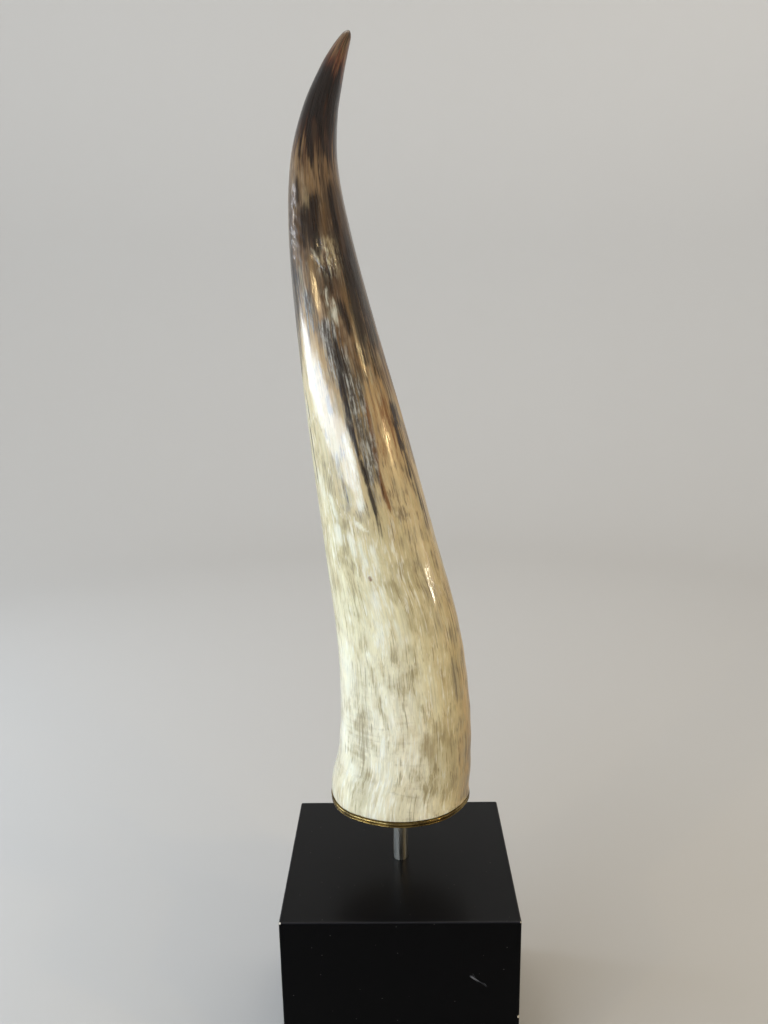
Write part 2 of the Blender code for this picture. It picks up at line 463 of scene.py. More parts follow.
def bend_to_horn(straight):
    """Carries points of the straight horn to the curved one, with its oval section and its relief."""
    height = straight[:, 2]
    step = 0.5 * MM
    ahead = horn_middle(np.minimum(height + step, HORN_HEIGHT))
    along = ahead - horn_middle(np.maximum(height - step, 0))
    along[height <= step] = (0, 0, 1)
    along /= np.linalg.norm(along, axis=1)[:, None]
    side = np.array((1.0, 0, 0)) - along * along[:, :1]
    side /= np.linalg.norm(side, axis=1)[:, None]
    back = np.cross(along, side)
    angle = np.arctan2(straight[:, 1], straight[:, 0])
    radius = np.hypot(straight[:, 0], straight[:, 1])
    radius = radius + horn_relief(angle, height) * radius / np.maximum(at_height(height, 2), radius)
    oval = OVAL_AT_BASE + (OVAL_AT_TIP - OVAL_AT_BASE) * height / HORN_HEIGHT
    out = (radius * np.cos(angle))[:, None] * side + (radius * oval * np.sin(angle))[:, None] * back
    return horn_middle(height) + out


def read_points(mesh):
    """Reads a mesh's points as rows of x, y and z."""
    points = np.empty(len(mesh.vertices) * 3, np.float32)
    mesh.vertices.foreach_get("co", points)
    return points.reshape(-1, 3).astype(float)


def write_points(mesh, points):
    """Writes rows of x, y and z back to a mesh's points."""
    mesh.vertices.foreach_set("co", points.astype(np.float32).ravel())
    mesh.update()


def bend_horn(piece):
    """Bends the straight horn, except its socket, and returns its straight points."""
    straight = read_points(piece.data)
    bent = bend_to_horn(straight)
    radius = np.hypot(straight[:, 0], straight[:, 1])
    socket = (radius < SOCKET_RADIUS + GAP) & (straight[:, 2] <= SOCKET_DEPTH)
    bent[socket] = straight[socket]
    bent += (ROD_ASIDE, 0, HORN_BOTTOM)
    write_points(piece.data, bent)
    return straight


horn_straight = bend_horn(horn)
print("horn reaches, in mm:", np.round(read_points(horn.data).max(axis=0) / MM, 1))

# %% [markdown]
# ## Where the horn's colours lie
#
# Pigment in a horn lies in streaks along its fibres: black and brown near the tip, then amber and
# grey tongues that reach down into the cream. A painter would lay those tongues in one by one, and so
# does this step. Each streak is an angle round the horn, a lowest and highest place, a width and a
# drift. They are laid into soft fields on the mesh, and the material later gives them their
# feathered edges, because fine noise in nodes costs nothing and fine noise in a mesh costs points.

# %% Lay in the streaks
STREAKS = {
    # angle in degrees at its top, drift to its foot, lowest and highest place in mm, width in mm, strength
    "dark": (
        (-110, 20, 395, 427, 2.9, 1), (-36, 0, 300, 352, 9, 1), (-62, 4, 330, 350, 3.5, 0.8),
        (-75, 8, 296, 318, 4, 0.8), (-48, 6, 268, 296, 5, 0.8), (-73, 1, 198, 212, 0.9, 0.7),
        (-82, 29, 400, 426, 3.2, 1), (-131, 13, 399, 416, 4, 0.6), (-42, 4, 414, 443, 10.1, 0.8),
        (-106, 17, 427, 454, 9.6, 0.8), (-88, -12, 353, 379, 5.3, 1), (-94, 0, 345, 361, 3.4, 1),
        (-108, -10, 350, 373, 6.6, 0.85), (-125, 2, 374, 391, 3.2, 0.6), (-54, -4, 351, 385, 2.9, 1),
        (-54, -6, 331, 369, 4, 1), (-55, 0, 306, 344, 5.1, 1), (-56, 2, 289, 317, 5.7, 0.9),
        (-30, -7, 287, 324, 15.1, 0.8), (-85, -2, 319, 337, 5.8, 0.6), (-64, 6, 278, 292, 4.5, 0.9),
        (-92, 0, 277, 296, 4, 0.7), (-42, 9, 286, 306, 8.7, 0.8), (-94, 0, 247, 281, 2.4, 1),
        (-96, 7, 226, 250, 2.6, 1), (-90, 2, 210, 229, 2.5, 0.9), (-88, 3, 193, 212, 2.3, 0.8),
        (-86, 2, 178, 196, 2.4, 0.45), (-32, 0, 238, 255, 8.5, 0.85), (-32, -1, 225, 242, 6.3, 0.75),
        (-32, 0, 207, 229, 4.9, 0.55), (-32, 8, 186, 209, 4.9, 0.55), (-158, -16, 277, 308, 6.8, 0.7),
        (-168, 0, 302, 356, 15, 1), (-148, 0, 312, 350, 7, 0.9), (-163, 4, 254, 273, 1.5, 0.8),
        (-163, 4, 218, 252, 1.5, 0.9), (-163, 4, 202, 224, 1.5, 0.7), (-83, 6, 144, 167, 2.5, 0.3),
    ),
    "slate": (
        (-102, 4, 289, 307, 9, 0.9), (-96, 8, 272, 293, 9.5, 1), (-87, 4, 249, 277, 9.5, 1),
        (-84, 4, 230, 253, 9, 1), (-81, 0, 211, 236, 7.5, 0.85), (-82, 2, 198, 216, 5.4, 0.4),
        (-128, 5, 302, 327, 5.64, 0.6), (-112, -3, 197, 216, 7.08, 0.45), (-91, 12, 330, 337, 6.24, 0.5),
    ),
    "brown": (
        (-92, 12, 404, 423, 3.4, 0.6), (-40, 0, 325, 385, 12, 1), (-118, 1, 342, 354, 6.2, 0.6),
        (-72, 4, 321, 339, 5.3, 0.6), (-26, 2, 172, 222, 6, 0.55), (-121, 4, 301, 321, 8.4, 0.5),
        (-50, 14, 316, 338, 8.9, 0.7), (-90, 8, 293, 303, 4.5, 0.7), (-70, 9, 268, 281, 5.2, 0.6),
        # the rows low on the right, at -16, -26 and -40 degrees, are partly the horn's brown and partly
        # painted shade
        (-22, 3, 258, 286, 14.6, 0.5), (-15, 14, 211, 243, 10.5, 0.5), (-16, -4, 112, 155, 9, 0.25),
        (-67, -4, 352, 372, 3.1, 0.7), (-54, 5, 136, 165, 6.7, 0.5), (-40, 7, 50, 102, 5, 0.22),
        (-26, -4, 62, 120, 5, 0.2),
    ),
    "amber": (
        (-106, -4, 318, 344, 4.4, 1), (-60, -6, 299, 328, 5.1, 0.9), (-64, 0, 278, 301, 4, 0.8),
        (-92, 8, 296, 307, 3.4, 0.8), (-72, -6, 352, 375, 2.9, 0.6), (-70, -2, 234, 259, 2.3, 0.9),
        (-74, 1, 219, 237, 2.1, 0.9), (-73, 1, 201, 222, 2.0, 1), (-72, 2, 195, 205, 1.7, 0.9),
        (-49, -2, 223, 260, 13.7, 0.6), (-104, 1, 156.5, 159.5, 2.2, 0.7),
    ),
    "pale": (
        (-108, 2, 368, 384, 3.7, 0.5), (-76, 7, 335, 354, 7.2, 0.5), (-80, 0, 265, 286, 3.5, 0.8),
        (-106, 2, 251, 275, 4.4, 0.5), (-52, -5, 316, 338, 2.9, 0.5), (-34, 6, 261, 285, 12.2, 0.5),
        (-88, 4, 249, 263, 3, 0.5), (-72, 0, 42, 64, 17, 0.3),
    ),
    # the milky streaks are partly pale flecks in the horn and partly painted highlights and reflections
    "milky_and_highlight": (
        (-92, 0, 314, 326, 2.2, 0.5), (-86, 1, 304, 319, 3.2, 0.6), (-133, 0, 179, 192, 4.4, 0.9),
        (-118, 3, 172, 187, 3.3, 0.8), (-108, 2, 164, 182, 2.4, 0.9), (-96, 2, 161, 177, 3.7, 0.7),
        (-108, 10, 185, 192, 2.6, 1), (-136, 6, 194, 210, 3.4, 0.6), (-101, 2, 199, 245, 4.1, 0.8),
        (-152, 5, 200, 225, 7.8, 0.5), (-132, 3, 135, 165, 3.5, 0.35), (-104, 1, 120, 151, 5, 0.5),
        (-163, 4, 142, 168, 1.5, 0.6), (-139, 4, 16, 32, 13, 0.5), (-88, 3, 113, 131, 3.4, 0.5),
        (-148, 3, 76, 119, 13.1, 0.5), (-105, 12, 339, 349, 1.6, 0.35),
    ),
    "olive": (
        (-130, 1, 164, 206, 13.9, 0.5), (-71, 10, 145, 165, 8.8, 0.8), (-88, 7, 140, 156, 7.1, 0.8),
        (-142, 14, 135, 146, 11.5, 0.7), (-78, 7, 122, 137, 7.4, 0.7), (-63, 4, 115, 137, 3.4, 0.8),
        (-80, 4, 98, 117, 2.4, 0.9), (-148, 8, 78, 103, 4.7, 0.4), (-114, 8, 62, 92, 2.2, 0.8),
        (-80, 4, 73, 88, 3.3, 0.8), (-116, 4, 41, 51, 21.1, 0.5), (-58, 4, 18, 56, 24, 1),
        (-75.5, 4, 10, 23, 16.1, 0.5), (-126, 0, 4, 28, 14, 0.9), (-146, 10, 30, 54, 9.5, 0.6),
        (-102, 10, 83, 100, 9.3, 0.5), (-119, 2, 100, 128, 2.4, 0.5), (-116, 4, 71, 100, 2.2, 0.45),
        (-81, 2, 93, 118, 2.1, 0.7), (-80, 2, 73, 87, 1.8, 0.55), (-143, 4, 78, 101, 2.5, 0.4),
        (-61, 2, 117, 134, 2.7, 0.55), (-34, 4, 42, 122, 5, 0.9), (-28, 0, 6, 62, 14, 0.7),
        (-85, 3, 26, 48, 15, 0.5), (-142, 1, 126, 146, 4.3, 0.4),
    ),
}
STREAK_SPREAD = 1.35
STREAK_TAIL = 0.25
STREAK_POINT = 1.6
HIDDEN_SIDE = (8, 168)
HIGHEST_STREAK = 425
HIDDEN_STREAKS = {
    # how many, and the lowest and highest place where they begin, in mm
    "dark": (20, 170, 370),
    "slate": (6, 190, 330),
    "brown": (14, 170, 370),
    "amber": (9, 170, 330),
    "pale": (8, 200, 370),
    "milky_and_highlight": (12, 60, 280),
    "olive": (16, 2, 170),
}
# how far the colours are shifted, in mm of height: browner on the right and low on the right, partly
# the horn's own brown and partly painted shade on the side away from the window, where that is
# strongest at a middle height and fades over a spread, and paler on the left, which is painted light
# where the window's highlight falls
BROWN_AND_SHADE_RIGHT = 206
BROWN_AND_SHADE_FOOT, FOOT_MIDDLE, FOOT_SPREAD = 50, 30, 60
PAINTED_LIGHT_LEFT, LEFT_MIDDLE, LEFT_SPREAD = 90, 280, 80
WORN_AT_BASE, WORN_REACH = 1.6, 200


def streak_field(angle, height, streaks):
    """Lays streaks into one soft field: rounded across, and drawn out to a point at both ends."""
    total = np.zeros(len(angle))
    for top, drift, low, high, width, strength in streaks:
        along = (height / MM - low) / (high - low)
        turned = angle - math.radians(drift) * (1 - along)
        beyond = np.maximum(np.abs(along - 0.5) - 0.5 + STREAK_TAIL, 0) / (2 * STREAK_TAIL)
        spread = width / 2 * STREAK_SPREAD
        one = bump(across(turned, height, top) / spread) * bump(beyond * STREAK_POINT)
        total = np.maximum(total, strength * one)
    return total


def far_side_streaks(kind, draw):
    """Makes up streaks for the side that the photograph doesn't show, like those on the front."""
    count, lowest, highest = HIDDEN_STREAKS[kind]
    made = []
    for _ in range(count):
        low = draw.uniform(lowest, highest)
        length = draw.uniform(15, 40) if kind in ("olive", "milky_and_highlight") else draw.uniform(28, 70)
        width = draw.uniform(3, 16) if kind == "olive" else draw.uniform(3, 9) * (1 - low / 700)
        place = draw.uniform(*HIDDEN_SIDE)
        high = min(low + length, HIGHEST_STREAK)
        made.append((place, draw.uniform(-7, 7), low, high, width, draw.uniform(0.6, 1)))
    return tuple(made)


def add_field(mesh, name, values, kind="FLOAT"):
    """Stores one value for each point of a mesh, for a material to read."""
    stored = mesh.attributes.new(name, kind, "POINT")
    key = "value" if kind == "FLOAT" else "vector"
    stored.data.foreach_set(key, np.asarray(values, np.float32).ravel())


angle = np.arctan2(horn_straight[:, 1], horn_straight[:, 0])
height = horn_straight[:, 2]
unrolled = np.stack([PATTERN_RADIUS * np.cos(angle), PATTERN_RADIUS * np.sin(angle), height], axis=-1)
up = height / MM
facing_right, facing_left = np.clip(np.cos(angle), 0, 1), np.clip(-np.cos(angle), 0, 1)
# the right side is made browner, partly the horn's own brown and partly painted shade, and the left side
# paler as painted light
right = facing_right * np.clip(BROWN_AND_SHADE_RIGHT - up, 0, None)
right += BROWN_AND_SHADE_FOOT * facing_right ** 2 * bump((up - FOOT_MIDDLE) / FOOT_SPREAD)
left = PAINTED_LIGHT_LEFT * facing_left * bump((up - LEFT_MIDDLE) / LEFT_SPREAD)
rough = bump(across(angle, height, SCAR_ANGLE + 14) / 5) * bump((up - SCAR_HEIGHT + 3) / 9)
add_field(horn.data, "straight", unrolled, "FLOAT_VECTOR")
add_field(horn.data, "tone", up + right - left)
add_field(horn.data, "rough", rough)
add_field(horn.data, "worn", facing_right * np.clip(WORN_AT_BASE - up / WORN_REACH, 0, 1))
draw = random.Random(7)
for kind, streaks in STREAKS.items():
    add_field(horn.data, kind, streak_field(angle, height, streaks + far_side_streaks(kind, draw)))
print("streaks laid in:", {kind: len(streaks) for kind, streaks in STREAKS.items()})

# %% [markdown]
# ## Polished horn
#
# Horn is keratin: thin layers of pale fibre that are a little clear, so light goes in and comes back
# warm. Buffed horn shines, but its fibres still break the highlight into long white threads. The
# material stretches noise along the straight horn at several widths, from 14 mm patches to 0.5 mm
# hairs. The soft fields are pushed about by that noise before they are cut off, which gives the
# tongues their frayed, brushed ends. A clear coat is the polish, and it is thin where the horn is worn.

# %% Build the horn's material
HORN_TONES = (
    # height in mm, colour
    (0, "#ddd3b1"), (60, "#e9e2c6"), (140, "#dcd2ab"), (185, "#c8b88c"), (215, "#c3ab7f"),
    (250, "#ac8e61"), (285, "#85694a"), (320, "#644c36"), (350, "#4f3b2b"), (372, "#5a4732"),
    (384, "#866a49"), (398, "#785d41"), (410, "#43291b"), (426, "#170e0b"), (446, "#0e0908"),
    (454, "#2f1810"), (461, "#7c422a"), (469, "#957852"), (476, "#3a281b"),
)
# widths across and lengths along the fibres, in mm, and how much fine detail each carries
FIBRES = {
    "patches": (14, 60, 2),
    "clouds": (6, 13, 3),
    "tongues": (2.6, 55, 3),
    "threads": (1.1, 30, 3),
    "hairs": (0.5, 40, 2),
    "strokes": (1.3, 11, 3),
    "rings": (26, 3.5, 3),
    "mottle": (1.1, 2.8, 3),
}
NOISE_APART = 3.7
FRAY, FINE_FRAY = 1.6, 0.4
WANDER_LENGTH = 45 * MM
WANDER = 3 * MM


def fibre_noise(tree, place):
    """Adds one stretched noise for each kind of fibre and returns their outputs by name."""
    made = {}
    for index, (name, (width, length, detail)) in enumerate(FIBRES.items()):
        scale = (1 / (width * MM), 1 / (width * MM), 1 / (length * MM))
        apart = (index * NOISE_APART,) * 3
        drawn = add(tree, "ShaderNodeMapping", {"Vector": place, "Scale": scale, "Location": apart})
        noise = add(tree, "ShaderNodeTexNoise",
                    {"Vector": drawn.outputs[0], "Scale": 1, "Detail": detail, "Roughness": 0.55})
        made[name] = noise.outputs[0]
    return made


def wander(tree, place):
    """Pushes the straight place about a little, so that no fibre runs dead straight."""
    broad = add(tree, "ShaderNodeTexNoise", {"Vector": place, "Scale": 1 / WANDER_LENGTH, "Detail": 1})
    push = add(tree, "ShaderNodeVectorMath", {0: broad.outputs["Color"], 1: (0.5,) * 3}, operation="SUBTRACT")
    return add(tree, "ShaderNodeVectorMath", {0: push.outputs[0], 1: (2 * WANDER,) * 3, 2: place},
               operation="MULTIPLY_ADD").outputs[0]


def soft_cut(tree, value, low, high):
    """Turns a value to 0 below one limit and 1 above another, smoothly between them."""
    cut = add(tree, "ShaderNodeMapRange", {0: value, 1: low, 2: high}, interpolation_type="SMOOTHSTEP")
    return cut.outputs[0]


def weigh(tree, start, *terms):
    """Adds weighted values to a start, each value counted from its own middle."""
    total = start
    for value, weight, middle in terms:
        scaled = add(tree, "ShaderNodeMath", {0: value, 1: weight, 2: -middle * weight},
                     operation="MULTIPLY_ADD")
        total = add(tree, "ShaderNodeMath", {0: scaled.outputs[0], 1: total}, operation="ADD").outputs[0]
    return total


def blend(tree, share, under, over):
    """Lays one colour over another by a share from 0 to 1."""
    return add(tree, "ShaderNodeMix", {0: share, 6: under, 7: over}, data_type="RGBA").outputs[2]


def times(tree, value, *factors):
    """Multiplies a value by numbers or by other values."""
    for factor in factors:
        value = add(tree, "ShaderNodeMath", {0: value, 1: factor}, operation="MULTIPLY").outputs[0]
    return value


def field(tree, name):
    """Reads one of the mesh's painted fields."""
    return add(tree, "ShaderNodeAttribute", attribute_name=name).outputs["Fac"]


def fibre_sum(tree, noise, start=0, **weights):
    """Adds fibre patterns to a start, each by its name, a weight and the middle it is counted from."""
    return weigh(tree, start, *((noise[name], *pair) for name, pair in weights.items()))


def fibre_cut(tree, noise, low, high, **weights):
    """Adds fibre patterns, and turns the sum to 0 below one limit and 1 above another."""
    return soft_cut(tree, fibre_sum(tree, noise, **weights), low, high)


def horn_tone(tree, noise, tone):
    """Colours the horn by height, with the height pushed about so that the tones fray into each other."""
    frayed = fibre_sum(tree, noise, tone, tongues=(70, 0.5), threads=(30, 0.5), clouds=(40, 0.5))
    share = add(tree, "ShaderNodeMapRange", {0: frayed, 1: 0.0, 2: HORN_HEIGHT / MM})
    ramp = add(tree, "ShaderNodeValToRGB", {0: share.outputs[0]})
    stops = ramp.color_ramp.elements
    for spare in list(stops)[1:]:
        stops.remove(spare)
    for index, (height_mm, tone_hex) in enumerate(HORN_TONES):
        stop = stops[0] if index == 0 else stops.new(height_mm * MM / HORN_HEIGHT)
        stop.position = height_mm * MM / HORN_HEIGHT
        stop.color = colour(tone_hex)
    return ramp.outputs[0]


def lay_streaks(tree, noise, base, kind, tint, strength, broad="tongues", fine="threads"):
    """Lays one kind of streak over the base: its field is frayed by the fibres, then cut off softly."""
    soft = field(tree, kind)
    frayed = fibre_sum(tree, noise, soft, **{broad: (FRAY, 0.5), fine: (FRAY, 0.5)}, mottle=(FINE_FRAY, 0.5))
    inside = soft_cut(tree, soft, 0.03, 0.45)
    share = times(tree, soft_cut(tree, frayed, 0.05, 0.85), inside, strength)
    return blend(tree, share, base, tint), share


def lay_over(tree, base, tint, strength, *shares):
    """Lays a colour over the base where all the shares meet."""
    return blend(tree, times(tree, shares[0], *shares[1:], strength), base, colour(tint))


def make_polished_horn():
    """Builds the horn's material from its tones, its streaks and its fibres."""
    material, tree = new_material("polished horn")
    place = add(tree, "ShaderNodeAttribute", attribute_name="straight").outputs["Vector"]
    noise = fibre_noise(tree, wander(tree, place))
    tone = field(tree, "tone")
    base = horn_tone(tree, noise, tone)

    # the cream end: tan clouds, faint growth rings, fine grey hair lines and milky strokes
    cream = soft_cut(tree, tone, 270, 190)
    palest = soft_cut(tree, tone, 215, 175)
    clouds = fibre_cut(tree, noise, 0.46, 0.66, clouds=(0.6, 0), patches=(0.4, 0), threads=(0.35, 0.5))
    base = lay_over(tree, base, "#bda876", 0.55, clouds, cream)
    lowest = soft_cut(tree, tone, 120, 30)
    rings = fibre_cut(tree, noise, 0.54, 0.80, rings=(1, 0), threads=(0.6, 0.5), patches=(0.9, 0.5))
    base = lay_over(tree, base, "#a39779", 0.50, rings, lowest)
    lines = fibre_sum(tree, noise, hairs=(0.8, 0), threads=(0.5, 0.5), clouds=(0.25, 0.5))
    grey_lines = soft_cut(tree, fibre_sum(tree, noise, lines, patches=(0.45, 0.5)), 0.44, 0.60)
    base = lay_over(tree, base, "#6b614a", 0.60, grey_lines, cream)
    strokes = fibre_sum(tree, noise, strokes=(0.8, 0), hairs=(0.4, 0.5), patches=(0.5, 0.5))
    base = lay_over(tree, base, "#8b7e58", 0.25, soft_cut(tree, strokes, 0.47, 0.62), cream)
    base = lay_over(tree, base, "#f2f0e0", 0.65, soft_cut(tree, strokes, 0.37, 0.22), palest)
    streaky = weigh(tree, 0.40, (soft_cut(tree, lines, 0.36, 0.54), 0.60, 0))
    base, _ = lay_streaks(tree, noise, base, "olive", colour("#87784f"), times(tree, streaky, 0.58),
                          "clouds", "strokes")

    # between cream and brown: a grey haze, broken by dark brown lines
    middle = times(tree, soft_cut(tree, tone, 145, 215), soft_cut(tree, tone, 350, 295))
    haze = fibre_cut(tree, noise, 0.48, 0.66, clouds=(0.5, 0), strokes=(0.5, 0), patches=(0.5, 0.5))
    base = lay_over(tree, base, "#b3ab8e", 0.60, haze, middle)
    cracks = fibre_cut(tree, noise, 0.51, 0.66, threads=(0.6, 0), hairs=(0.4, 0), clouds=(0.6, 0.5))
    base = lay_over(tree, base, "#47331f", 0.60, cracks, middle)

    # the brown end: darker and paler fibres all through it
    brown_end = soft_cut(tree, fibre_sum(tree, noise, tone, tongues=(90, 0.5)), 235, 300)
    deep = fibre_cut(tree, noise, 0.44, 0.62, patches=(0.5, 0), tongues=(0.5, 0), threads=(0.3, 0.5))
    base = lay_over(tree, base, "#22150f", 0.85, deep, brown_end)
    below_tip = soft_cut(tree, tone, 408, 385)
    light = fibre_cut(tree, noise, 0.50, 0.64, threads=(0.6, 0), tongues=(0.4, 0), clouds=(-0.5, 0.5))
    base = lay_over(tree, base, "#a08768", 0.70, light, brown_end, below_tip)

    # the coloured streaks, with the dark ones and the milky ones on top; the milky ones are partly pale
    # flecks and partly painted highlights
    base, _ = lay_streaks(tree, noise, base, "pale", colour("#a08b66"), 0.75, "clouds", "strokes")
    base, _ = lay_streaks(tree, noise, base, "brown", colour("#43301f"), 0.75)
    amber = blend(tree, soft_cut(tree, tone, 255, 290), colour("#754619"), colour("#6a4f2e"))
    base, _ = lay_streaks(tree, noise, base, "amber", amber, 0.85)
    drawn_out = fibre_cut(tree, noise, 0.42, 0.66, strokes=(0.6, 0), threads=(0.4, 0), mottle=(0.3, 0.5))
    marbled = blend(tree, drawn_out, colour("#35302d"), colour("#aaa89f"))
    base, _ = lay_streaks(tree, noise, base, "slate", marbled, 0.90)
    base, dark = lay_streaks(tree, noise, base, "dark", colour("#1f140f"), 0.93)
    base, milky_and_highlight = lay_streaks(tree, noise, base, "milky_and_highlight", colour("#e9e6d0"), 0.75, "clouds", "strokes")

    # the scar's welt: pale horn that grew back in flecks
    flecks = fibre_cut(tree, noise, 0.60, 0.76, mottle=(0.6, 0), strokes=(0.7, 0), threads=(0.4, 0.5))
    welt = times(tree, field(tree, "rough"), flecks)
    base = lay_over(tree, base, "#c8b995", 0.85, welt)

    # every fibre is a little lighter or darker than the next
    both = fibre_sum(tree, noise, hairs=(0.5, 0), threads=(0.5, 0))
    fibre = add(tree, "ShaderNodeMapRange", {0: both, 1: 0.35, 2: 0.65, 3: 0.78, 4: 1.18}).outputs[0]
    base = add(tree, "ShaderNodeVectorMath", {0: base, "Scale": fibre}, operation="SCALE").outputs[0]

    # the fibres stand out by a few hundredths of a millimetre, and the scar by more
    grain = weigh(tree, fibre_sum(tree, noise, tongues=(1, 0.5), threads=(0.4, 0.5), hairs=(0.2, 0.5)),
                  (welt, 3.0, 0))
    ridges = add(tree, "ShaderNodeBump", {"Height": grain, "Strength": 1.0, "Distance": 0.12 * MM})
    shine = weigh(tree, fibre_sum(tree, noise, 0.36, threads=(0.5, 0.5), patches=(0.3, 0.5)),
                  (dark, -0.08, 0))
    polish = weigh(tree, fibre_sum(tree, noise, 0.75, threads=(2, 0.5), clouds=(0.8, 0.5)), (milky_and_highlight, -0.3, 0),
                   (field(tree, "worn"), -0.6, 0))
    shader = add(tree, "ShaderNodeBsdfPrincipled", {
        "Base Color": base,
        "Roughness": shine,
        "IOR": 1.54,
        "Specular IOR Level": 0.3,
        "Normal": ridges.outputs[0],
        "Subsurface Weight": 0.12,
        "Subsurface Radius": (1.0, 0.6, 0.3),
        "Subsurface Scale": 3 * MM,
        "Coat Weight": polish,
        "Coat Roughness": 0.09,
        "Coat Normal": ridges.outputs[0],
    })
    close_material(tree, shader)
    return material


horn.data.materials.append(make_polished_horn())
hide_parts("horn")
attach(horn, "root")
print("horn material nodes:", len(horn.data.materials[0].node_tree.nodes))

# %% [markdown]
# ## The brass cap
#
# The cut end of the horn is closed by a thin turned brass plate with a beaded edge. Its outline is not
# a circle, because it was fitted to the horn, so the plate is spun round and its points are then moved
# out to the horn's own outline.

# %% Turn the cap
CAP_LOW, CAP_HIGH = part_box("brass_cap")
CAP_BOTTOM = CAP_LOW[2]
CAP_THICKNESS = CAP_HIGH[2] - CAP_LOW[2]
CAP_LIP = 0.5 * MM
CAP_GROOVE = 0.4 * MM


def bead(middle_height, middle_radius, size):
    """Gives the points of one rounded bead on the cap's edge, from its foot to its top."""
    turns = [math.radians(t) for t in (-75, -50, -25, 0, 25, 50, 75)]
    return [(middle_radius + size * math.cos(t), middle_height + size * math.sin(t)) for t in turns]


def cap_profile():
    """Gives the cap's closed profile: its bore, a thin lower bead, a groove and a broad upper bead."""
    rim = float(at_height(np.array(0.0), 2))
    groove = 0.42 * CAP_THICKNESS
    low_bead = bead(0.55 * groove, rim + 0.8 * CAP_LIP - 0.5 * MM, 0.5 * MM)
    top_size = (CAP_THICKNESS - groove) / 2 - 0.1 * MM
    top_bead = bead((CAP_THICKNESS + groove) / 2, rim + CAP_LIP - top_size, top_size)
    return [
        (SOCKET_RADIUS, 0),
        (rim - 1.2 * MM, 0),
        (rim - 0.4 * MM, 0.1 * MM),
        *low_bead,
        (rim - CAP_GROOVE, groove),
        *top_bead,
        (rim - 0.6 * MM, CAP_THICKNESS),
        (SOCKET_RADIUS, CAP_THICKNESS),
    ]


def fit_cap(piece):
    """Moves the spun cap's points out to the horn's outline, and leaves its bore round."""
    points = read_points(piece.data)
    radius = np.hypot(points[:, 0], points[:, 1])
    turn = np.arctan2(points[:, 1], points[:, 0])
    swell = 1 + horn_relief(turn, np.zeros(len(turn))) / at_height(np.zeros(len(turn)), 2)
    outer = radius > SOCKET_RADIUS + GAP
    points[outer, 0] = (radius * swell * np.cos(turn))[outer]
    points[outer, 1] = (radius * swell * np.sin(turn))[outer] * OVAL_AT_BASE
    points += (ROD_ASIDE, 0, CAP_BOTTOM)
    write_points(piece.data, points)


cap = add_piece("brass_plate", spin_profile(cap_profile(), HORN_SIDES, closed=True), 50)
fit_cap(cap)
print("cap reaches, in mm:", np.round(read_points(cap.data).max(axis=0) / MM, 1))

# %% [markdown]
# ## Polished brass, dulled by age
#
# Brass is copper and zinc. Freshly polished it is a bright yellow metal; in a year of air it turns
# olive and brown, first in the grooves. A metal takes its colour from its reflection, so the colour
# goes in Base Color with Metallic at 1, and the tarnish is a darker, rougher brass mixed in by noise.

# %% Build the brass
# tarnish lies in soft clouds about a finger's width across, with fine spots in them
CLOUD_SIZE, SPOT_SIZE = 11.1 * MM, 1.11 * MM


def make_brass():
    """Builds polished brass with soft olive-brown tarnish."""
    material, tree = new_material("aged polished brass")
    place = add(tree, "ShaderNodeTexCoord").outputs["Object"]
    cloud, fine = (
        add(tree, "ShaderNodeTexNoise", {"Vector": place, "Scale": 1 / size, "Detail": detail}).outputs[0]
        for size, detail in ((CLOUD_SIZE, 4), (SPOT_SIZE, 3)))
    tarnish = soft_cut(tree, weigh(tree, cloud, (fine, 0.3, 0.5)), 0.42, 0.68)
    tint = blend(tree, tarnish, colour("#8f7a4c"), colour("#493c25"))
    dull = weigh(tree, 0.18, (tarnish, 0.15, 0), (fine, 0.06, 0.5))
    scuffs = add(tree, "ShaderNodeBump", {"Height": fine, "Strength": 0.4, "Distance": 0.01 * MM})
    shader = add(tree, "ShaderNodeBsdfPrincipled", {
        "Base Color": tint, "Metallic": 1.0, "Roughness": dull, "Normal": scuffs.outputs[0]})
    close_material(tree, shader)
    return material


cap.data.materials.append(make_brass())
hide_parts("brass_cap")
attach(cap, "root")
print("brass nodes:", len(cap.data.materials[0].node_tree.nodes))

# %% [markdown]
# ## The rod
#
# The rod is a plain polished bar with chamfered ends, set into the block and the horn. A smooth bar
# shows every mistake as a kink in its reflection, so it has many sides. Drawn bar also keeps faint
# lines along its length, which the material adds as a very shallow bump.

# %% Turn the rod
ROD_LOW, ROD_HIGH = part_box("rod")
ROD_CHAMFER = 0.6 * MM
ROD_SIDES = 96
# drawn lines are finer than the picture shows, so these are as wide as they need to be to show
LINE_WIDTH, LINE_STRETCH, SMUDGE_SIZE = 0.385 * MM, 100, 6.25 * MM


def rod_profile():
    """Gives the rod's profile, with a chamfer at both ends."""
    length = ROD_HIGH[2] - ROD_LOW[2]
    return [
        (0, 0),
        (ROD_RADIUS - ROD_CHAMFER, 0),
        (ROD_RADIUS, ROD_CHAMFER),
        (ROD_RADIUS, length - ROD_CHAMFER),
        (ROD_RADIUS - ROD_CHAMFER, length),
        (0, length),
    ]


